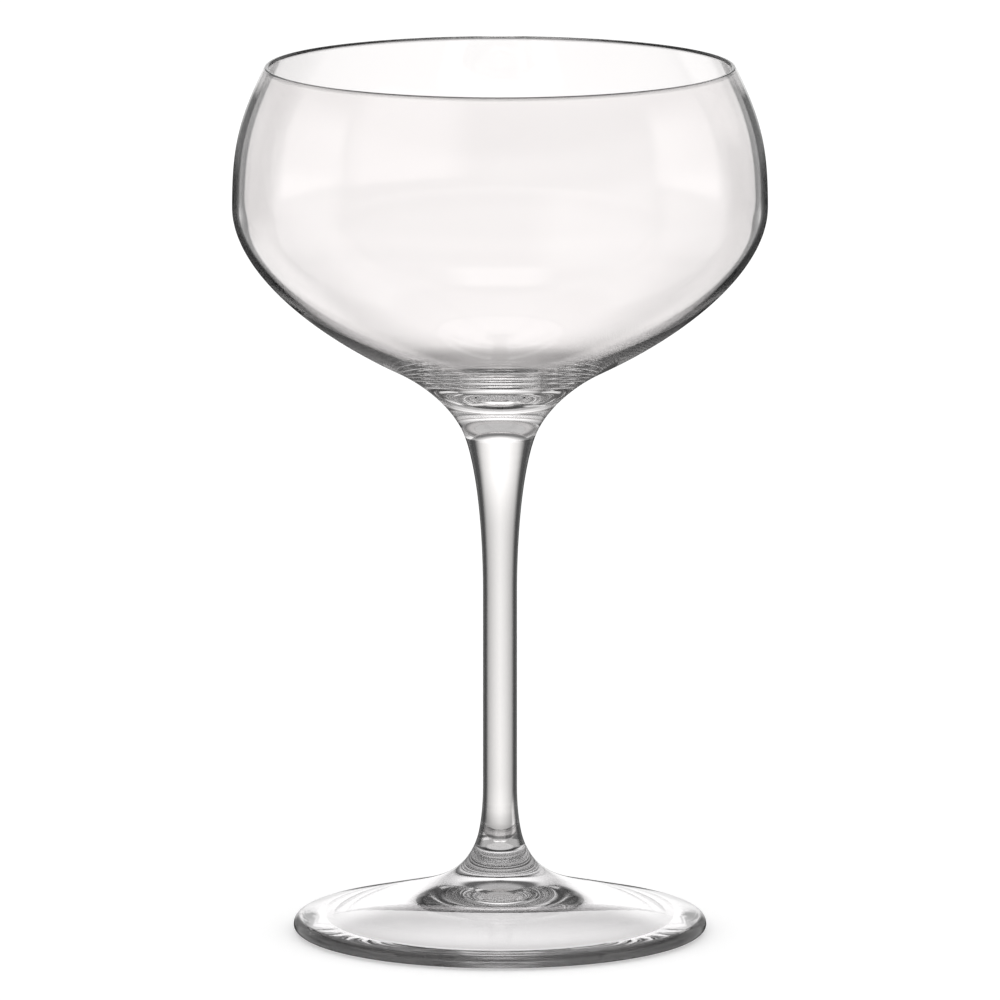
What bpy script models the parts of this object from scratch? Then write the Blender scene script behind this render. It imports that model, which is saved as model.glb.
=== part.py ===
"""A saucer champagne glass: a blown bowl, a drawn stem and a pressed foot, joined hot in one upright line.

Every piece is turned about the upright axis. Its outline is a chain of straight tangents whose corners are
rounded off, so a size that changes moves its own corner and the rest of the outline follows smoothly.
The origin is on the table, under the middle of the foot.
"""

import math

import bmesh
import bpy
from mathutils import Vector
from mathutils.geometry import interpolate_bezier, intersect_line_line

MM = 0.001

# Lengths up the axis, which add up to the height of the glass
FOOT_HEIGHT = 15.4 * MM
STEM_LENGTH = 72.5 * MM
BOWL_HEIGHT = 65.5 * MM
WELD_GAP = 0.3 * MM

# Bowl: heights are above its own lower end, walls are measured square to the glass
RIM_DIAMETER = 82.6 * MM
RIM_THICKNESS = 0.8 * MM
BOWL_DIAMETER = 94.0 * MM
SHOULDER_BELOW_RIM = 11.9 * MM
WIDEST_BELOW_RIM = 24.8 * MM
BELLY_HEIGHT = 25.75 * MM
TURN_DIAMETER = 37.4 * MM
TURN_HEIGHT = 11.9 * MM
FLOOR_DIAMETER = 10.8 * MM
SIDE_WALL = 0.95 * MM
LOWER_WALL = 1.3 * MM
INNER_LEAN = math.radians(2.15)

# Stem, and the two welds where its flared ends meet the bowl and the foot
STEM_DIAMETER = 6.0 * MM
UPPER_WELD_DIAMETER = 12.4 * MM
UPPER_WELD_LEAN = math.radians(20.4)
UPPER_FLARE_LENGTH = 28.0 * MM
LOWER_WELD_DIAMETER = 8.8 * MM
LOWER_WELD_LEAN = math.radians(23.6)
LOWER_FLARE_LENGTH = 10.5 * MM

# Foot: a shallow cone with a rounded edge, a flat ring to rest on and a hollow underneath
FOOT_DIAMETER = 73.0 * MM
EDGE_HEIGHT = 2.4 * MM
TOP_ROUND = 1.3 * MM
BOTTOM_ROUND = 1.8 * MM
FOOT_SHOULDER_DIAMETER = 40.4 * MM
FOOT_SHOULDER_HEIGHT = 6.4 * MM
REST_RING_WIDTH = 4.1 * MM
HOLLOW_DIAMETER = 31.8 * MM
HOLLOW_DEPTH = 6.2 * MM

# How far a bend's handles reach towards its corner: 0 would cut it straight off, 1 would leave it sharp
BEND_FULLNESS = 0.62
SHOULDER_FULLNESS = 0.8
FLOOR_FULLNESS = 0.85
NECK_FULLNESS = 0.81
EDGE_FULLNESS = 0.58
HOLLOW_FULLNESS = 0.38

# Facets round the axis, and points along a long bend, a short bend and a rounded edge
SEGMENTS = 64
LONG_BEND = 9
SHORT_BEND = 7
ROUND_EDGE = 6
MERGE_DISTANCE = 0.001 * MM
SMOOTH_ANGLE = math.radians(40)

CLEAR_GLASS = (0.95, 0.95, 0.945, 1.0)
GLASS_ROUGHNESS = 0.02
GLASS_INDEX = 1.52


def point(radius, height):
    return Vector((radius, height))


def bend(start, corner, end, count, fullness=BEND_FULLNESS):
    """Points of a smooth bend that leaves start and reaches end along the lines to their corner."""
    return interpolate_bezier(start, start.lerp(corner, fullness), end.lerp(corner, fullness), end, count)


def arc(centre, radius, start_angle, end_angle):
    """Points of a round edge, with angles measured up from the outward direction."""
    points = []
    for step in range(ROUND_EDGE):
        angle = start_angle + (end_angle - start_angle) * step / (ROUND_EDGE - 1)
        points.append(centre + radius * point(math.cos(angle), math.sin(angle)))
    return points


def meeting(start, through, other, direction):
    """Where the line from start through a second point meets the line from other along a direction."""
    lines = (start, through, other, other + direction)
    return intersect_line_line(*[end.to_3d() for end in lines])[0].to_2d()


def bowl_outline():
    """Up the inside from the middle of the floor, over the lip, and down the outside to the weld."""
    widest_radius = BOWL_DIAMETER / 2
    shoulder_height = BOWL_HEIGHT - SHOULDER_BELOW_RIM
    widest_height = BOWL_HEIGHT - WIDEST_BELOW_RIM

    shoulder = point(widest_radius, shoulder_height)
    widest = point(widest_radius, widest_height)
    belly = point(widest_radius, BELLY_HEIGHT)
    turn = point(TURN_DIAMETER / 2, TURN_HEIGHT)
    weld = point(UPPER_WELD_DIAMETER / 2, 0)
    weld_direction = point(math.sin(UPPER_WELD_LEAN), math.cos(UPPER_WELD_LEAN))
    funnel = meeting(belly, turn, weld, weld_direction)

    # The inside of the lower wall lies a little flatter than the outside, and meets the floor at its corner
    outer_slope = math.atan2(belly.y - turn.y, belly.x - turn.x)
    inner_slope = outer_slope - INNER_LEAN
    inner_turn = turn + LOWER_WALL * point(-math.sin(outer_slope), math.cos(outer_slope))
    up_the_wall = point(math.cos(inner_slope), math.sin(inner_slope))
    inner_radius = widest_radius - SIDE_WALL
    upright = point(0, 1)
    inner_belly = meeting(inner_turn, inner_turn + up_the_wall, point(inner_radius, 0), upright)
    floor = meeting(inner_turn, inner_turn + up_the_wall, point(FLOOR_DIAMETER / 2, 0), upright)
    inner_widest = point(inner_radius, widest_height)
    inner_shoulder = point(inner_radius, shoulder_height)

    # The lip is a half circle across the end of the wall
    lip_radius = RIM_THICKNESS / 2
    lip_centre = point(RIM_DIAMETER / 2 - lip_radius, BOWL_HEIGHT - lip_radius)
    up_to_lip = lip_centre - shoulder
    outward_angle = math.atan2(up_to_lip.y, up_to_lip.x) - math.pi / 2
    lip = arc(lip_centre, lip_radius, outward_angle + math.pi, outward_angle)

    inside = bend(point(0, floor.y), floor, inner_turn, LONG_BEND, FLOOR_FULLNESS)
    inside += bend(inner_turn, inner_belly, inner_widest, LONG_BEND)[1:]
    inside += bend(inner_widest, inner_shoulder, lip[0], SHORT_BEND, SHOULDER_FULLNESS)[1:]
    outside = bend(lip[-1], shoulder, widest, SHORT_BEND, SHOULDER_FULLNESS)[1:]
    outside += bend(widest, belly, turn, LONG_BEND)[1:]
    outside += bend(turn, funnel, weld, LONG_BEND)[1:]
    return inside + lip[1:] + outside + [point(0, 0)]


def stem_outline():
    """Down the outside from the upper weld to the lower one, with a flat end at each."""
    shank_radius = STEM_DIAMETER / 2
    top = point(UPPER_WELD_DIAMETER / 2, STEM_LENGTH)
    bottom = point(LOWER_WELD_DIAMETER / 2, 0)
    top_corner = point(shank_radius, STEM_LENGTH - (top.x - shank_radius) / math.tan(UPPER_WELD_LEAN))
    bottom_corner = point(shank_radius, (bottom.x - shank_radius) / math.tan(LOWER_WELD_LEAN))
    shank_top = point(shank_radius, STEM_LENGTH - UPPER_FLARE_LENGTH)
    shank_bottom = point(shank_radius, LOWER_FLARE_LENGTH)

    upper_flare = bend(top, top_corner, shank_top, LONG_BEND)
    lower_flare = bend(shank_bottom, bottom_corner, bottom, SHORT_BEND)
    return [point(0, STEM_LENGTH)] + upper_flare + lower_flare + [point(0, 0)]


def foot_outline():
    """Down the neck, out over the top, round the edge, and back underneath to the middle of the hollow."""
    foot_radius = FOOT_DIAMETER / 2
    neck = point(LOWER_WELD_DIAMETER / 2, FOOT_HEIGHT)
    neck_direction = point(-math.sin(LOWER_WELD_LEAN), math.cos(LOWER_WELD_LEAN))
    shoulder = point(FOOT_SHOULDER_DIAMETER / 2, FOOT_SHOULDER_HEIGHT)

    # The top slopes straight down from the shoulder to the corner of the edge
    edge_corner = point(foot_radius, EDGE_HEIGHT)
    neck_corner = meeting(edge_corner, shoulder, neck, neck_direction)
    cone_end = edge_corner + TOP_ROUND * (shoulder - edge_corner).normalized()

    # Both corners of the edge are rounded, and the lower one reaches further in
    edge_middle = point(foot_radius, EDGE_HEIGHT - TOP_ROUND)
    ring_corner = point(foot_radius, 0)
    ring_outside = point(foot_radius - BOTTOM_ROUND, 0)
    edge = bend(cone_end, edge_corner, edge_middle, ROUND_EDGE, EDGE_FULLNESS)
    edge += bend(edge_middle, ring_corner, ring_outside, ROUND_EDGE, EDGE_FULLNESS)[1:]

    ring_inside = point(ring_outside.x - REST_RING_WIDTH, 0)
    hollow_corner = point(HOLLOW_DIAMETER / 2, HOLLOW_DEPTH)
    hollow = bend(ring_inside, hollow_corner, point(0, HOLLOW_DEPTH), LONG_BEND, HOLLOW_FULLNESS)
    top = [point(0, FOOT_HEIGHT)] + bend(neck, neck_corner, shoulder, LONG_BEND, NECK_FULLNESS)
    return top + edge + hollow


def clear_glass(name):
    material = bpy.data.materials.new(name)
    material.use_nodes = True
    shader = material.node_tree.nodes["Principled BSDF"]
    shader.inputs["Base Color"].default_value = CLEAR_GLASS
    shader.inputs["Metallic"].default_value = 0.0
    shader.inputs["Roughness"].default_value = GLASS_ROUGHNESS
    shader.inputs["IOR"].default_value = GLASS_INDEX
    shader.inputs["Transmission Weight"].default_value = 1.0
    return material


def turned(name, outline, base_height, axis):
    """One closed solid turned from an outline whose two ends lie on the axis."""
    shape = bmesh.new()
    corners = [shape.verts.new((spot.x, 0, spot.y)) for spot in outline]
    edges = [shape.edges.new(pair) for pair in zip(corners, corners[1:])]
    bmesh.ops.spin(
        shape,
        geom=corners + edges,
        cent=(0, 0, 0),
        axis=(0, 0, 1),
        angle=math.tau,
        steps=SEGMENTS,
        use_merge=True,
    )
    bmesh.ops.remove_doubles(shape, verts=shape.verts, dist=MERGE_DISTANCE)
    bmesh.ops.recalc_face_normals(shape, faces=shape.faces)

    mesh = bpy.data.meshes.new(name)
    shape.to_mesh(mesh)
    shape.free()
    mesh.shade_smooth()
    mesh.set_sharp_from_angle(angle=SMOOTH_ANGLE)
    mesh.materials.append(clear_glass(f"{name}_glass"))

    piece = bpy.data.objects.new(name, mesh)
    piece.location.z = base_height
    piece.parent = axis
    bpy.context.scene.collection.objects.link(piece)
    return piece


def main():
    for leftover in list(bpy.data.objects):
        bpy.data.objects.remove(leftover)

    axis = bpy.data.objects.new("glass_axis", None)
    bpy.context.scene.collection.objects.link(axis)

    stem_base = FOOT_HEIGHT + WELD_GAP
    bowl_base = stem_base + STEM_LENGTH + WELD_GAP
    turned("foot", foot_outline(), 0, axis)
    turned("stem", stem_outline(), stem_base, axis)
    turned("bowl", bowl_outline(), bowl_base, axis)


main()
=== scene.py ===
# %% [markdown]
# # A saucer champagne glass
#
# This lesson dresses a measured model of a champagne glass: a blown bowl, a drawn stem and a pressed foot.
# The measured model gives the sizes. Here every piece is turned again at a much finer step, because clear
# glass shows the smallest facet, and then gets a glass finish and the light that a glass is photographed in.

# %% Load the measured model
import math

import bmesh
import bpy
import numpy as np
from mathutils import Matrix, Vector
from mathutils.geometry import interpolate_bezier, intersect_line_line


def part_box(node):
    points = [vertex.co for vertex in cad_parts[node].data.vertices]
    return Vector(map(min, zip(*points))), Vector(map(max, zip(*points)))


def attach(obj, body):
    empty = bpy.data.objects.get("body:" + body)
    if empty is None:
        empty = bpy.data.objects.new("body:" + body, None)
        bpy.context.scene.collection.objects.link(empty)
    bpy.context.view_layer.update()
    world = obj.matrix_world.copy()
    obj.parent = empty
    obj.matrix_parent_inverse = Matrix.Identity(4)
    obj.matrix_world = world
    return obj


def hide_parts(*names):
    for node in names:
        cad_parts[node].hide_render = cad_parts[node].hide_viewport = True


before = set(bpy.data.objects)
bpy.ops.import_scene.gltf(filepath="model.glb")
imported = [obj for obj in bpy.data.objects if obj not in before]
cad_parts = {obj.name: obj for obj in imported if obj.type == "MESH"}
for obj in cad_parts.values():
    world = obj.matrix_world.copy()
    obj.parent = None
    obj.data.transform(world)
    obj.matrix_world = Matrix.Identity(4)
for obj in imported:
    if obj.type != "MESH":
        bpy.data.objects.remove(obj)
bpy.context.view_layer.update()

print("pieces in the measured model:", sorted(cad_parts))

# %% [markdown]
# The measured model leaves a hair's gap where the glass is welded. On the real glass the weld is solid, so
# the fine pieces meet in the middle of that gap. What can be read from the model's boxes is read from them:
# the heights of the welds and the rim, and the radii of the bowl, the foot and the upper weld.

# %% Read the main sizes
MM = 0.001

foot_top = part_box("foot")[1]
stem_bottom, stem_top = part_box("stem")
bowl_bottom, bowl_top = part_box("bowl")

lower_weld_height = (foot_top.z + stem_bottom.z) / 2
upper_weld_height = (stem_top.z + bowl_bottom.z) / 2
rim_height = bowl_top.z
bowl_radius = bowl_top.x
foot_radius = foot_top.x
upper_weld_radius = stem_top.x
print(f"welds at {lower_weld_height / MM:.2f} and {upper_weld_height / MM:.2f} mm")
print(f"rim at {rim_height / MM:.2f} mm")

# %% [markdown]
# ## Drawing an outline
#
# A glassworker thinks of a glass as one outline turned about its axis. The outline here is a chain of
# straight tangents with rounded corners: each bend is a Bezier curve whose two handles reach part of the way
# to the corner, so neighbouring bends always meet without a crease.

# %% Bends and corners
BEND_FULLNESS = 0.62
BEND_POINTS = 60


def point(radius, height):
    return Vector((radius, height))


def bend(start, corner, end, fullness=BEND_FULLNESS):
    """A smooth bend that leaves start and reaches end along the lines to their corner."""
    first_handle = start.lerp(corner, fullness)
    second_handle = end.lerp(corner, fullness)
    return interpolate_bezier(start, first_handle, second_handle, end, BEND_POINTS)


def meeting(start, through, other, direction):
    """Where the line from start through a second point meets the line from other along a direction."""
    lines = (start, through, other, other + direction)
    return intersect_line_line(*[end.to_3d() for end in lines])[0].to_2d()


def leaning(angle):
    """A direction that leans outwards from the upright by an angle."""
    return point(math.sin(angle), math.cos(angle))


print(f"a bend has {BEND_POINTS} points")

# %% [markdown]
# Two bends that share a tangent can still differ in how tightly they curve, and polished glass shows that
# as a kink in every reflection. So a finished line is set out again with its points an even step apart, and
# then relaxed: each point moves half way to the middle of its neighbours, over and over, which evens the
# curvature out. Relaxing alone also shrinks every bend a little. Where a bend has to keep its size, each
# step is followed by one that springs back, away from the middle, by slightly more.

# %% Flowing lines
MERGE_DISTANCE = 0.001 * MM
OUTLINE_STEP = 0.6 * MM
RELAXING_PASSES = 18
RELAXING = 0.5
SPRING_BACK = 0.53


def joined(*stretches):
    """One outline from several stretches, leaving out the points where two of them meet."""
    outline = list(stretches[0])
    for stretch in stretches[1:]:
        outline += [spot for spot in stretch if (spot - outline[-1]).length > MERGE_DISTANCE]
    return outline


def evenly(line, step):
    """The same line, with its points an even step apart."""
    lengths = [(after - before).length for before, after in zip(line, line[1:])]
    along = np.cumsum([0.0] + lengths)
    places = np.linspace(0, along[-1], round(along[-1] / step) + 1)
    radii = np.interp(places, along, [spot.x for spot in line])
    heights = np.interp(places, along, [spot.y for spot in line])
    return [point(*spot) for spot in zip(radii, heights)]


def moved(line, share):
    """The line with all but its ends moved a share of the way to the middle of their neighbours."""
    middles = [(before + after) / 2 for before, after in zip(line, line[2:])]
    inner = [spot.lerp(middle, share) for spot, middle in zip(line[1:], middles)]
    return [line[0]] + inner + [line[-1]]


def flowing(line, passes=RELAXING_PASSES, spring=0.0):
    """The line with its curvature evened out. Its two ends stay."""
    line = evenly(line, OUTLINE_STEP)
    for _ in range(passes):
        line = moved(moved(line, RELAXING), -spring)
    return line


def between(line, top, bottom):
    """The stretch of a falling line between two heights, cut off exactly at each."""
    stretch = []
    for before, after in zip(line, line[1:]):
        for level in (top, bottom):
            if before.y > level >= after.y:
                stretch.append(before.lerp(after, (before.y - level) / (before.y - after.y)))
        if bottom < after.y < top:
            stretch.append(after)
    return stretch


print(f"points {OUTLINE_STEP / MM:.1f} mm apart, relaxed {RELAXING_PASSES} times")

# %% [markdown]
# ## Turning a piece
#
# Blender's spin operator turns an outline about an axis, and use_merge closes the last step onto the first.
# The points on the axis come out once for each step, so the doubles are merged before the normals are
# worked out. A piece has a flat end where it is welded. The real weld can't be seen, so those faces get
# a second material that lets light straight through.

# %% A lathe
SEGMENTS = 192
SMOOTH_ANGLE = math.radians(35)
WELD_MATERIAL = 1


def turned(name, outline, weld_heights):
    """A closed piece turned from an outline. Its faces at the weld heights take the second material."""
    shape = bmesh.new()
    corners = [shape.verts.new((spot.x, 0, spot.y)) for spot in outline]
    edges = [shape.edges.new(pair) for pair in zip(corners, corners[1:])]
    bmesh.ops.spin(
        shape,
        geom=corners + edges,
        cent=(0, 0, 0),
        axis=(0, 0, 1),
        angle=math.tau,
        steps=SEGMENTS,
        use_merge=True,
    )
    bmesh.ops.remove_doubles(shape, verts=shape.verts, dist=MERGE_DISTANCE)
    bmesh.ops.recalc_face_normals(shape, faces=shape.faces)
    for face in shape.faces:
        for height in weld_heights:
            if all(abs(corner.co.z - height) < MERGE_DISTANCE for corner in face.verts):
                face.material_index = WELD_MATERIAL

    mesh = bpy.data.meshes.new(name)
    shape.to_mesh(mesh)
    shape.free()
    mesh.shade_smooth()
    mesh.set_sharp_from_angle(angle=SMOOTH_ANGLE)
    piece = bpy.data.objects.new(name, mesh)
    bpy.context.scene.collection.objects.link(piece)
    print(f"{name}: {len(outline)} outline points, {len(mesh.polygons)} faces")
    return piece


print(f"a full turn has {SEGMENTS} steps")

# %% [markdown]
# ## The outside of the glass
#
# From the lip to the edge of the foot the outside is one flowing line, and the three pieces are cut from it
# at the welds, so no weld shows as a step. The bowl's part of it leans in towards the rim, is fullest a
# third of the way down and falls away to a funnel.

# %% Outside of the bowl
RIM_DIAMETER = 82.6 * MM
RIM_THICKNESS = 0.8 * MM
SHOULDER_BELOW_RIM = 11.9 * MM
WIDEST_BELOW_RIM = 24.8 * MM
BELLY_ABOVE_WELD = 25.9 * MM
TURN_DIAMETER = 37.4 * MM
TURN_ABOVE_WELD = 12.05 * MM
UPPER_WELD_LEAN = math.radians(20.4)
SHOULDER_FULLNESS = 0.8
LIP_POINTS = 17

shoulder = point(bowl_radius, rim_height - SHOULDER_BELOW_RIM)
widest = point(bowl_radius, rim_height - WIDEST_BELOW_RIM)
belly = point(bowl_radius, upper_weld_height + BELLY_ABOVE_WELD)
turn = point(TURN_DIAMETER / 2, upper_weld_height + TURN_ABOVE_WELD)
upper_weld = point(upper_weld_radius, upper_weld_height)
funnel = meeting(belly, turn, upper_weld, leaning(UPPER_WELD_LEAN))

# The lip is a half circle across the end of the wall
lip_radius = RIM_THICKNESS / 2
lip_centre = point(RIM_DIAMETER / 2 - lip_radius, rim_height - lip_radius)
up_to_lip = lip_centre - shoulder
outward_angle = math.atan2(up_to_lip.y, up_to_lip.x) - math.pi / 2
lip = []
for step in range(LIP_POINTS):
    angle = outward_angle + math.pi * (1 - step / (LIP_POINTS - 1))
    lip.append(lip_centre + lip_radius * point(math.cos(angle), math.sin(angle)))

bowl_side = joined(
    bend(lip[-1], shoulder, widest, SHOULDER_FULLNESS),
    bend(widest, belly, turn),
    bend(turn, funnel, upper_weld),
)
print(f"bowl: rim {RIM_DIAMETER / MM:.1f} mm, widest {2 * bowl_radius / MM:.1f} mm")

# %% [markdown]
# The stem is a gather of hot glass drawn out to a slim rod, so it flares at both ends where it was welded.
# Each flare is one bend, from the slope of the weld to the upright side of the rod.

# %% Outside of the stem
STEM_DIAMETER = 6.0 * MM
UPPER_FLARE_LENGTH = 28.0 * MM
LOWER_WELD_DIAMETER = 8.8 * MM
LOWER_WELD_LEAN = math.radians(23.6)
LOWER_FLARE_LENGTH = 10.5 * MM

shank_radius = STEM_DIAMETER / 2
lower_weld = point(LOWER_WELD_DIAMETER / 2, lower_weld_height)
upper_reach = (upper_weld.x - shank_radius) / math.tan(UPPER_WELD_LEAN)
lower_reach = (lower_weld.x - shank_radius) / math.tan(LOWER_WELD_LEAN)
upper_corner = point(shank_radius, upper_weld.y - upper_reach)
lower_corner = point(shank_radius, lower_weld.y + lower_reach)
shank_top = point(shank_radius, upper_weld.y - UPPER_FLARE_LENGTH)
shank_bottom = point(shank_radius, lower_weld.y + LOWER_FLARE_LENGTH)

stem_side = joined(
    bend(upper_weld, upper_corner, shank_top),
    bend(shank_bottom, lower_corner, lower_weld),
)
print(f"stem: {STEM_DIAMETER / MM:.1f} mm thick, {(upper_weld.y - lower_weld.y) / MM:.1f} mm long")

# %% [markdown]
# The foot is pressed: a shallow cone with a flared neck on top. Its edge is fire-polished, so the corner of
# the cone and the corner under it are both rounded, and the lower one reaches further in.

# %% Outside of the foot
FOOT_SHOULDER_DIAMETER = 40.4 * MM
FOOT_SHOULDER_HEIGHT = 6.4 * MM
NECK_FULLNESS = 0.81
EDGE_HEIGHT = 2.4 * MM
TOP_ROUND = 1.3 * MM
BOTTOM_ROUND = 1.8 * MM
EDGE_FULLNESS = 0.58
EDGE_STEP = 0.1 * MM

foot_shoulder = point(FOOT_SHOULDER_DIAMETER / 2, FOOT_SHOULDER_HEIGHT)
edge_corner = point(foot_radius, EDGE_HEIGHT)
ring_corner = point(foot_radius, 0)
up_the_cone = (foot_shoulder - edge_corner).normalized()
cone_end = edge_corner + TOP_ROUND * up_the_cone
edge_middle = point(foot_radius, EDGE_HEIGHT - TOP_ROUND)
ring_outside = point(foot_radius - BOTTOM_ROUND, 0)
edge = joined(
    evenly(bend(cone_end, edge_corner, edge_middle, EDGE_FULLNESS), EDGE_STEP),
    evenly(bend(edge_middle, ring_corner, ring_outside, EDGE_FULLNESS), EDGE_STEP),
)
neck_corner = meeting(edge_corner, foot_shoulder, lower_weld, leaning(-LOWER_WELD_LEAN))

foot_side = joined(bend(lower_weld, neck_corner, foot_shoulder, NECK_FULLNESS), [cone_end])
outside = flowing(joined(bowl_side, stem_side, foot_side), spring=SPRING_BACK)
print(f"foot: {2 * foot_radius / MM:.1f} mm across, {len(outside)} points on the whole outside")

# %% [markdown]
# ## The bowl
#
# The bowl is blown into a turning mould, so it is truly round. Its wall is thin at the side and thickens
# towards the bottom, where a solid boss was left to take the stem. The lip is melted round after the rim is
# cut. The inside is its own flowing line, up from the middle of the floor.

# %% Bowl
FLOOR_DIAMETER = 10.8 * MM
FLOOR_FULLNESS = 0.85
SIDE_WALL = 0.95 * MM
LOWER_WALL = 1.3 * MM
INNER_LEAN = math.radians(2.15)

outer_slope = math.atan2(belly.y - turn.y, belly.x - turn.x)
inner_turn = turn + LOWER_WALL * point(-math.sin(outer_slope), math.cos(outer_slope))
inner_slope = outer_slope - INNER_LEAN
up_the_wall = point(math.cos(inner_slope), math.sin(inner_slope))
upright = point(0, 1)
inner_radius = bowl_radius - SIDE_WALL
inner_belly = meeting(inner_turn, inner_turn + up_the_wall, point(inner_radius, 0), upright)
inner_floor = meeting(inner_turn, inner_turn + up_the_wall, point(FLOOR_DIAMETER / 2, 0), upright)
inner_widest = point(inner_radius, widest.y)
inner_shoulder = point(inner_radius, shoulder.y)

inside = flowing(joined(
    bend(point(0, inner_floor.y), inner_floor, inner_turn, FLOOR_FULLNESS),
    bend(inner_turn, inner_belly, inner_widest),
    bend(inner_widest, inner_shoulder, lip[0], SHOULDER_FULLNESS),
))
bowl_outline = joined(
    inside,
    lip,
    between(outside, rim_height, upper_weld_height),
    [point(0, upper_weld_height)],
)
bowl = turned("blown_bowl", bowl_outline, [upper_weld_height])

# %% [markdown]
# ## The stem
#
# The stem is the stretch of the outside between the welds, closed by a flat end at each.

# %% Stem
stem_outline = joined(
    [point(0, upper_weld_height)],
    between(outside, upper_weld_height, lower_weld_height),
    [point(0, lower_weld_height)],
)
stem = turned("drawn_stem", stem_outline, [lower_weld_height, upper_weld_height])

# %% [markdown]
# ## The foot
#
# The foot goes on from the lower weld, round its edge, along the flat ring that it stands on, and up into a
# hollow, so that the glass doesn't rock. The hollow also acts as a lens: its depth decides how the light in
# the middle of the foot is bent.

# %% Foot
REST_RING_WIDTH = 4.1 * MM
HOLLOW_DIAMETER = 31.8 * MM
HOLLOW_DEPTH = 6.2 * MM
HOLLOW_FULLNESS = 0.38
HOLLOW_PASSES = 4

ring_inside = point(ring_outside.x - REST_RING_WIDTH, 0)
hollow_corner = point(HOLLOW_DIAMETER / 2, HOLLOW_DEPTH)
hollow_top = point(0, HOLLOW_DEPTH)
hollow = flowing(bend(ring_inside, hollow_corner, hollow_top, HOLLOW_FULLNESS), HOLLOW_PASSES)
foot_outline = joined(
    [point(0, lower_weld_height)],
    between(outside, lower_weld_height, cone_end.y),
    edge,
    hollow,
)
foot = turned("pressed_foot", foot_outline, [lower_weld_height])

# %% [markdown]
# ## Writing shader maths
#
# A node tree is hard to read as a list of links. This small class wraps one socket, so that sums on sockets
# are written as sums, and every other node comes from one method.

# %% Shader maths


class Wire:
    """A socket that can be used in sums. Each sum adds a Math node to its tree."""

    def __init__(self, tree, socket=None):
        self.tree = tree
        self.socket = socket

    def node(self, kind, settings=None, inputs=None, output=0):
        """Adds a node of a type, sets it up, fills or links its inputs, and returns one output."""
        made = self.tree.nodes.new(kind)
        for key, value in (settings or {}).items():
            setattr(made, key, value)
        for key, value in (inputs or {}).items():
            if isinstance(value, Wire):
                self.tree.links.new(value.socket, made.inputs[key])
            else:
                made.inputs[key].default_value = value
        return Wire(self.tree, made.outputs[output])

    def maths(self, operation, first, second=0.0):
        return self.node("ShaderNodeMath", {"operation": operation}, {0: first, 1: second})

    def __add__(self, other):
        return self.maths("ADD", self, other)

    def __radd__(self, other):
        return self.maths("ADD", other, self)

    def __sub__(self, other):
        return self.maths("SUBTRACT", self, other)

    def __rsub__(self, other):
        return self.maths("SUBTRACT", other, self)

    def __mul__(self, other):
        return self.maths("MULTIPLY", self, other)

    def __rmul__(self, other):
        return self.maths("MULTIPLY", other, self)

    def __truediv__(self, other):
        return self.maths("DIVIDE", self, other)

    def __pow__(self, other):
        return self.maths("POWER", self, other)

    def part(self, axis):
        """One part of a vector: X, Y or Z."""
        return self.node("ShaderNodeSeparateXYZ", inputs={0: self}, output=axis)

    def eased(self, low, high, at_low=0.0, at_high=1.0):
        """Goes smoothly from one value to another as the socket goes from low to high."""
        inputs = {"Value": self, "From Min": low, "From Max": high, "To Min": at_low, "To Max": at_high}
        return self.node("ShaderNodeMapRange", {"interpolation_type": "SMOOTHSTEP"}, inputs)


def long_side(first, second):
    """The long side of a right triangle, from its two short ones."""
    return (first * first + second * second) ** 0.5


print("sums on sockets: + - * / and **")

# %% [markdown]
# ## Clear glass
#
# Glass has almost no colour of its own, but it takes a little of the light on every pass, and more where
# the light has to go a long way through it. The Principled shader does the bending and the mirror gloss. A
# finish here adds what a flat colour leaves out: a tint that drifts slightly, as the melt does, a relief
# of a few thousandths of a millimetre that makes a reflection quiver, and dark outlines, painted as shade
# into the colour.

# %% Glass finishes
GLASS_INDEX = 1.52
POLISHED = 0.0
DRIFT_SCALE = 40.0
DRIFT_RANGE = (0.35, 0.65)
NOISE_DETAIL = 2.0


def new_finish(name):
    """A new material, and a wire to build its nodes with."""
    finish = bpy.data.materials.new(name)
    finish.use_nodes = True
    return finish, Wire(finish.node_tree)


def place_on(wire):
    """Where a point lies on its piece, in metres."""
    return wire.node("ShaderNodeTexCoord", output="Object")


def noise(wire, place, scale):
    """Soft uneven marks from 0 to 1."""
    inputs = {"Vector": place, "Scale": scale, "Detail": NOISE_DETAIL}
    return wire.node("ShaderNodeTexNoise", inputs=inputs)


def mixed(wire, factor, first, second):
    """A colour between two others."""
    return wire.node("ShaderNodeMix", {"data_type": "RGBA"}, {0: factor, 6: first, 7: second}, output=2)


def drifting(wire, tint, deeper_tint):
    """A tint that drifts slowly towards a deeper one and back."""
    drift = noise(wire, place_on(wire), DRIFT_SCALE)
    return mixed(wire, drift.eased(*DRIFT_RANGE), tint, deeper_tint)


def marks(wire, stretch, scale):
    """Uneven marks, drawn out along the directions whose stretch is small."""
    drawn_out = wire.node("ShaderNodeMapping", inputs={"Vector": place_on(wire), "Scale": stretch})
    return noise(wire, drawn_out, scale)


def clear_glass(material, colour, relief, depth):
    """Sets a material up as polished clear glass with a colour and a relief of a given depth."""
    tree = material.node_tree
    shader = tree.nodes["Principled BSDF"]
    bump = colour.node("ShaderNodeBump", inputs={"Height": relief, "Distance": depth, "Strength": 1.0})
    tree.links.new(colour.socket, shader.inputs["Base Color"])
    tree.links.new(bump.socket, shader.inputs["Normal"])
    shader.inputs["Roughness"].default_value = POLISHED
    shader.inputs["IOR"].default_value = GLASS_INDEX
    shader.inputs["Transmission Weight"].default_value = 1.0
    print(f"{material.name}: {len(tree.nodes)} nodes")


print(f"the glass bends light with an index of {GLASS_INDEX}")
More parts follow.
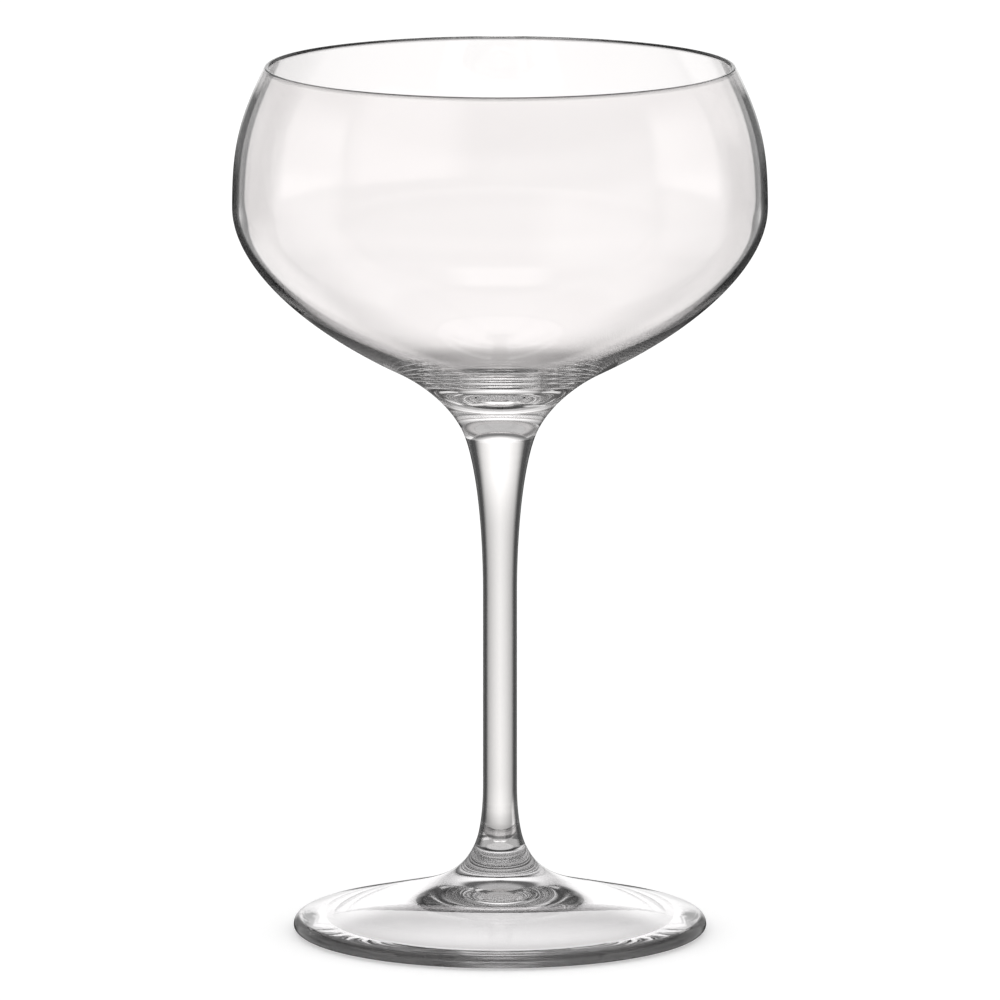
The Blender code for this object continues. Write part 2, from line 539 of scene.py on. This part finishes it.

# %% [markdown]
# Where the bowl turns away from the eye, light enters its wall at a glancing angle and is led round inside
# the wall, so the edge of a thin glass looks like a dark line. Here that line is painted shade: a Layer
# Weight node finds the glancing angles, and there the colour goes almost black. Near the base the solid
# glass makes its own dark line, so there the painted shade fades out, and towards the rim it weakens. The
# lip gets a grey painted shade, so that it shows as a fine line. The relief runs in faint level bands, from
# the turning in the mould, and fades out towards the base.

# %% Bowl finish
BOWL_TINT = (0.990, 0.972, 0.969, 1.0)
BOWL_DEEPER_TINT = (0.984, 0.965, 0.962, 1.0)
# Near black, painted at glancing angles as shade for the bowl's dark outline
BOWL_EDGE_PAINTED_SHADE = (0.008, 0.008, 0.008, 1.0)
EVEN_BLEND = 0.5
GLANCING_RANGE = (0.752, 0.785)
BASE_HEIGHTS = (100.0 * MM, 118.0 * MM)
EDGE_BELOW_RIM = (5.0 * MM, 1.5 * MM)
EDGE_AT_RIM = 0.4
# Grey painted shade along the lip, for its fine dark line
LIP_PAINTED_SHADE = (0.55, 0.54, 0.54, 1.0)
LIP_DEPTH = 0.8 * MM
TURNING_STRETCH = (0.05, 0.05, 1.0)
TURNING_SCALE = 120.0
TURNING_DEPTH = 0.006 * MM


def turned_away(wire):
    """How far a surface is turned from the eye: 0 where it faces it, 1 where it is seen edge on."""
    return wire.node("ShaderNodeLayerWeight", inputs={"Blend": EVEN_BLEND}, output="Facing")


bowl_finish, wire = new_finish("bowl_finish")
height = place_on(wire).part("Z")
above_base = height.eased(*BASE_HEIGHTS)
fade_start, fade_end = [rim_height - depth for depth in EDGE_BELOW_RIM]
below_rim = height.eased(fade_start, fade_end, 1.0, EDGE_AT_RIM)
# Where the painted outline shade goes: glancing angles, faded near the base and towards the rim
edge_shade_mask = turned_away(wire).eased(*GLANCING_RANGE) * above_base * below_rim
# The band under the rim that takes the lip's grey painted shade
lip_shade_mask = height.eased(rim_height - LIP_DEPTH, rim_height - LIP_DEPTH / 2)
bowl_colour = mixed(wire, edge_shade_mask, drifting(wire, BOWL_TINT, BOWL_DEEPER_TINT), BOWL_EDGE_PAINTED_SHADE)
bowl_colour = mixed(wire, lip_shade_mask, bowl_colour, LIP_PAINTED_SHADE)
relief = marks(wire, TURNING_STRETCH, TURNING_SCALE) * above_base
clear_glass(bowl_finish, bowl_colour, relief, TURNING_DEPTH)

# %% [markdown]
# The stem was pulled, so its relief runs in fine streaks along it. It is solid, and takes more of the light.
# A solid rod bends light hardest near its outline, so there it shows the dark sides of the studio, and
# painted shade at glancing angles, near black in the colour, as on the bowl, deepens that line.

# %% Stem finish
STEM_TINT = (0.860, 0.842, 0.832, 1.0)
STEM_DEEPER_TINT = (0.835, 0.817, 0.807, 1.0)
# Near black, painted at glancing angles as shade for the stem's dark outline
STEM_EDGE_PAINTED_SHADE = (0.006, 0.006, 0.006, 1.0)
STEM_GLANCING_RANGE = (0.23, 0.43)
DRAWING_STRETCH = (1.0, 1.0, 0.05)
DRAWING_SCALE = 500.0
DRAWING_DEPTH = 0.003 * MM

stem_finish, wire = new_finish("stem_finish")
# Where the stem's painted outline shade goes
edge_shade_mask = turned_away(wire).eased(*STEM_GLANCING_RANGE)
stem_colour = mixed(wire, edge_shade_mask, drifting(wire, STEM_TINT, STEM_DEEPER_TINT), STEM_EDGE_PAINTED_SHADE)
relief = marks(wire, DRAWING_STRETCH, DRAWING_SCALE)
clear_glass(stem_finish, stem_colour, relief, DRAWING_DEPTH)

# %% [markdown]
# The foot was pressed by a plunger that turned as it came away, so faint rings run round it. They are noise
# along the radius alone, and show most over the outer half of the foot. Its rounded edge leads light round
# inside, as the bowl's wall does, and looks dark, so a dark grey painted shade covers the last millimetre.

# %% Foot finish
FOOT_TINT = (0.845, 0.831, 0.836, 1.0)
FOOT_DEEPER_TINT = (0.825, 0.811, 0.816, 1.0)
# Dark grey painted shade for the dark band at the foot's edge
FOOT_EDGE_PAINTED_SHADE = (0.17, 0.166, 0.166, 1.0)
FOOT_EDGE_WIDTH = 1.3 * MM
FOOT_EDGE_FULL = 0.45 * MM
RING_SCALE = 500.0
RING_DEPTH = 0.006 * MM
RINGS_RANGE = (18.0 * MM, 26.0 * MM)

foot_finish, wire = new_finish("foot_finish")
place = place_on(wire)
distance = long_side(place.part("X"), place.part("Y"))
rings = wire.node("ShaderNodeTexNoise", {"noise_dimensions": "1D"}, {"W": distance, "Scale": RING_SCALE})
relief = rings * distance.eased(*RINGS_RANGE)
# The last millimetre of the foot, which takes the painted edge shade
edge_shade_mask = distance.eased(foot_radius - FOOT_EDGE_WIDTH, foot_radius - FOOT_EDGE_FULL)
foot_colour = mixed(wire, edge_shade_mask, drifting(wire, FOOT_TINT, FOOT_DEEPER_TINT), FOOT_EDGE_PAINTED_SHADE)
clear_glass(foot_finish, foot_colour, relief, RING_DEPTH)

# %% [markdown]
# A weld that was made hot can't be seen, because the glass is one body there. The flat ends of the pieces
# get a shader that lets everything straight through.

# %% Weld finish


def shown_by(finish, shader):
    """Makes a shader the whole look of a material, in place of the one it started with."""
    tree = finish.node_tree
    tree.nodes.remove(tree.nodes["Principled BSDF"])
    tree.links.new(shader.socket, tree.nodes["Material Output"].inputs["Surface"])


weld_finish, wire = new_finish("weld")
shown_by(weld_finish, wire.node("ShaderNodeBsdfTransparent"))
print(f"{weld_finish.name}: light goes straight through")

# %% [markdown]
# Each fine piece now takes its finish, with the weld as its second material, and stands in for the piece of
# the measured model that has its place. Nothing on a glass moves, so all three ride on the one body.

# %% Dress the pieces
dressed = (
    (bowl, "bowl", bowl_finish),
    (stem, "stem", stem_finish),
    (foot, "foot", foot_finish),
)
for piece, node, finish in dressed:
    piece.data.materials.append(finish)
    piece.data.materials.append(weld_finish)
    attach(piece, "root")
    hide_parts(node)
    print(f"{piece.name} replaces {node}")

# %% [markdown]
# ## The floor
#
# The glass stands on a wide pale sheet. It lies a hair below the foot, so that the two faces don't fight.

# %% Floor
FLOOR_SIZE = 12.0
FLOOR_DROP = 0.2 * MM

floor_shape = bmesh.new()
bmesh.ops.create_grid(floor_shape, x_segments=1, y_segments=1, size=FLOOR_SIZE / 2)
floor_mesh = bpy.data.meshes.new("floor")
floor_shape.to_mesh(floor_mesh)
floor_shape.free()
floor = bpy.data.objects.new("floor", floor_mesh)
floor.location.z = -FLOOR_DROP
bpy.context.scene.collection.objects.link(floor)
print(f"floor: {FLOOR_SIZE:.0f} m square, {FLOOR_DROP / MM:.1f} mm below the foot")

# %% [markdown]
# The sheet glows a little besides catching light, which takes it up to the white of the backdrop. Clear
# glass hardly shades it, so all that is left of a shadow is a soft line under the foot. What is seen through
# the glass comes from the studio further on and not from the sheet, so the sheet is clear for every ray but
# the camera's own.

# %% Floor finish
FLOOR_COLOUR = (0.8, 0.8, 0.8, 1.0)
FLOOR_GLOW = (0.28, 0.28, 0.28, 1.0)

floor_finish, wire = new_finish("pale_floor")
seen = wire.node("ShaderNodeLightPath", output="Is Camera Ray")
lit = wire.node("ShaderNodeBsdfDiffuse", inputs={"Color": FLOOR_COLOUR})
glow = wire.node("ShaderNodeEmission", inputs={"Color": FLOOR_GLOW})
pale = wire.node("ShaderNodeAddShader", inputs={0: lit, 1: glow})
clear = wire.node("ShaderNodeBsdfTransparent")
shown_by(floor_finish, wire.node("ShaderNodeMixShader", inputs={0: seen, 1: clear, 2: pale}))
floor_mesh.materials.append(floor_finish)
print(f"{floor_finish.name}: grey {FLOOR_COLOUR[0]}, glow {FLOOR_GLOW[0]}")

# %% [markdown]
# ## The studio
#
# Clear glass shows nothing but its surroundings, so lighting a glass means placing pale and dark sheets
# round it. The usual set for a glass on white is a bright sheet behind it, for a pale middle, and dark ones
# to the sides, which the curved walls draw together into dark outlines. Here the sheets are painted on the
# sky by direction: a bearing, counted in degrees from straight behind the glass, and an elevation. A
# soft-edged band is given by four numbers: where it starts, is full, is last full and ends.

# %% Directions round the glass
SMALLEST_LEVEL_PART = 0.001

world = bpy.data.worlds.new("studio")
bpy.context.scene.world = world
world.use_nodes = True
world.cycles.sampling_method = "NONE"
tree = world.node_tree
wire = Wire(tree)
direction = wire.node("ShaderNodeTexCoord", output="Generated")
across = direction.part("X")
away = direction.part("Y")
up = direction.part("Z")
# Kept above zero, because a bearing is found by dividing by it
level_part = wire.maths("MAXIMUM", long_side(across, away), SMALLEST_LEVEL_PART)


def sine(degrees):
    return math.sin(math.radians(degrees))


def degrees_from(bearing):
    """How many degrees a direction is turned from a bearing, to either side."""
    angle = math.radians(bearing)
    along = (across * math.sin(angle) + away * math.cos(angle)) / level_part
    return wire.maths("ARCCOSINE", wire.maths("MINIMUM", along, 1.0)) * math.degrees(1)


def band(value, low_dark, low_full, high_full, high_dark):
    """A soft-edged band: 1 between the two full values, and 0 beyond the two dark ones."""
    return value.eased(low_dark, low_full) * (1.0 - value.eased(high_full, high_dark))


def rise(low_dark, low_full, high_full, high_dark):
    """A soft-edged band of elevations, given in degrees."""
    return band(up, sine(low_dark), sine(low_full), sine(high_full), sine(high_dark))


def climbing(low, high, at_low, at_high):
    """A level that goes from one value to another between two elevations."""
    return up.eased(sine(low), sine(high), at_low, at_high)


def brightest(first, *others):
    """The brightest of several sheets, where they overlap."""
    for other in others:
        first = wire.maths("MAXIMUM", first, other)
    return first


aside = degrees_from(0)
print("bearings are counted from straight behind the glass")

# %% [markdown]
# Light that comes through the glass has been bent, so each place on the glass shows its own part of the
# studio. The bowl and the stem look out at the sheet behind, a little below the level, the middle of the
# bowl's base looks at it further down, and the back of the foot a little above the level. The sheet is
# brightest straight behind the glass and fades to the sides, and its steps in height give these places
# their greys. A step is two elevations and the level at each.

# %% The sheet behind the glass
FADE_BEARING = 50.0
FADE_POWER = 1.3
BEHIND_RISE = (-43, -36, 18, 30)
BEHIND_STEPS = ((-26, -14, 0.56, 1.16), (-14, -8, 1.0, 0.89), (-6, 3, 1.0, 1.45))

fade = wire.maths("MAXIMUM", 1.0 - (aside / FADE_BEARING) ** FADE_POWER, 0.0)
behind = fade * rise(*BEHIND_RISE)
for step in BEHIND_STEPS:
    behind = behind * climbing(*step)
print(f"the sheet behind fades out {FADE_BEARING:.0f} degrees to each side")

# %% [markdown]
# The rest of the round is dim, and that is what the thick base of the bowl and the edge of the foot show. A
# ring runs round it, brighter low down, so that the glass isn't black to an eye that looks down on it. A
# pale sheet to each side, below the level, is mirrored inside the bowl's walls.

# %% A dim ring and two side sheets
DIM = 0.04
DIM_RING_BEARINGS = (50, 70)
DIM_RING_STEPS = ((-36, -26, 0.45, 0.07), (16, 30, 1.0, 0.0))
BESIDE_BEARINGS = (60, 68, 102, 110)
BESIDE_RISE = (-40, -16, -3, 9)

dim_ring = aside.eased(*DIM_RING_BEARINGS)
for step in DIM_RING_STEPS:
    dim_ring = dim_ring * climbing(*step)
beside = band(aside, *BESIDE_BEARINGS) * rise(*BESIDE_RISE)
print(f"the dim ring starts {DIM_RING_BEARINGS[0]} degrees from straight behind")

# %% [markdown]
# Three single sheets follow. Two stand where the glass is looked through from its other sides, and a low
# one in front lights the back of the lip. A pale sheet overhead lights the dome in the middle of the foot,
# and one beneath is the white table that an eye high up sees through the bowl.

# %% Single sheets, overhead and beneath
FRONT_SIDE = {"bearing": 135, "full": 16, "dark": 38, "elevations": (-46, -36, 2, 12), "level": 0.95}
BACK_SIDE = {"bearing": -45, "full": 8, "dark": 22, "elevations": (-50, -40, -18, -10), "level": 0.9}
FACING_LOW = {"bearing": 180, "full": 15, "dark": 40, "elevations": (-66, -58, -42, -34), "level": 1.7}
OVERHEAD_STEPS = ((14, 30, 0.0, 0.1), (36, 50, 0.0, 0.4))
BENEATH_STEP = (-68, -58, 0.72, 0.0)


def single_sheet(bearing, full, dark, elevations, level):
    """A sheet round one bearing, full within some degrees of it and gone beyond some more."""
    return (1.0 - degrees_from(bearing).eased(full, dark)) * rise(*elevations) * level


singles = [single_sheet(**sheet) for sheet in (FRONT_SIDE, BACK_SIDE, FACING_LOW)]
sheets = brightest(behind, dim_ring, beside, *singles)
overhead = climbing(*OVERHEAD_STEPS[0]) + climbing(*OVERHEAD_STEPS[1])
beneath = climbing(*BENEATH_STEP)
through_glass = brightest(DIM + overhead + sheets, beneath)
print(f"{len(singles)} single sheets, one overhead and one beneath are seen through the glass")

# %% [markdown]
# The polished outside mirrors the studio too, most strongly where it turns away from the eye. A strip light
# stands low behind, for the back of the foot and the shoulder of the bowl. Soft light from the sides gives
# the outlines their inner fade, and a slightly stronger upright panel to each side gives the bowl its faint
# strips.

# %% Mirrored off the glass
STRIP_RISE = (-7.5, -4, 17, 27)
STRIP_MIDDLE = (7, 15, 1.0, 0.25)
STRIP_ENDS = (80, 100, 1.0, 0.0)
SIDE_BEARINGS = (20, 32, 0.0, 0.55)
PANEL_BEARINGS = (60, 63, 100, 103)
PANEL_LEVEL = 0.2
SIDE_RISE = (-70, -60, 22, 32)
CEILING_STEP = (32, 45, 0.0, 0.08)

strip_light = rise(*STRIP_RISE) * aside.eased(*STRIP_MIDDLE) * aside.eased(*STRIP_ENDS)
panels = band(aside, *PANEL_BEARINGS) * PANEL_LEVEL
side_light = (aside.eased(*SIDE_BEARINGS) + panels) * rise(*SIDE_RISE)
off_glass = DIM + brightest(strip_light, side_light) + climbing(*CEILING_STEP)
print("a strip light and two side panels are mirrored off the glass")

# %% [markdown]
# The camera sees plain white past the glass, and the floor is lit evenly from all round. A Light Path node
# tells these rays from the ones that left the glass. A ray through glass counts as glossy as well, so the
# mirrored light is put in first and the light through the glass over it. Rays from the floor that go up
# through the glass find a little less light, and that is the soft shadow.

# %% Put the light together
GLASS_SHADE = 0.2


def chosen(factor, otherwise, value):
    """One level where a factor is 1, and another where it is 0."""
    return otherwise * (1.0 - factor) + value * factor


def ray(kind):
    return wire.node("ShaderNodeLightPath", output=kind)


through = ray("Is Transmission Ray")
from_floor = wire.maths("MINIMUM", ray("Diffuse Depth"), 1.0)
level = chosen(ray("Is Glossy Ray"), 1.0, off_glass)
level = chosen(through, level, through_glass)
level = chosen(from_floor, level, 1.0 - GLASS_SHADE * through)
level = chosen(ray("Is Camera Ray"), level, 1.0)
tree.links.new(level.socket, tree.nodes["Background"].inputs["Color"])
print(f"the studio has {len(tree.nodes)} nodes")

# %% [markdown]
# ## The camera
#
# The camera stands well back and looks down on the glass by about nine degrees, through a long lens. Its
# place and its lens were fitted to the outline of the photographed glass, together with the sizes above.

# %% Camera
CAMERA_DISTANCE = 2.305
CAMERA_HEIGHT = 0.4587
AIM_HEIGHT = 0.0770
FOCAL_PIXELS = 13272
IMAGE_PIXELS = 1000
SENSOR = 36.0
CLIP_END = 100.0

camera_data = bpy.data.cameras.new("camera")
camera = bpy.data.objects.new("camera", camera_data)
bpy.context.scene.collection.objects.link(camera)
bpy.context.scene.camera = camera
camera_data.sensor_width = SENSOR
camera_data.lens = FOCAL_PIXELS * SENSOR / IMAGE_PIXELS
camera_data.clip_end = CLIP_END
camera.location = (0, -CAMERA_DISTANCE, CAMERA_HEIGHT)
aim = Vector((0, 0, AIM_HEIGHT)) - camera.location
camera.rotation_euler = aim.to_track_quat("-Z", "Y").to_euler()
bpy.context.scene.view_settings.view_transform = "Standard"
print(f"camera: {camera_data.lens:.0f} mm lens, {aim.length:.2f} m away")

# %% [markdown]
# Inside solid glass, light can be reflected many times before it finds a way out, and every time counts as
# a bounce. With the usual limits the thick parts of the glass turn black, so the limits are raised.

# %% Bounces
BOUNCES = 96
CLEAR_BOUNCES = 32

cycles = bpy.context.scene.cycles
cycles.max_bounces = BOUNCES
cycles.glossy_bounces = BOUNCES
cycles.transmission_bounces = BOUNCES
cycles.transparent_max_bounces = CLEAR_BOUNCES
print(f"light may bounce {BOUNCES} times")
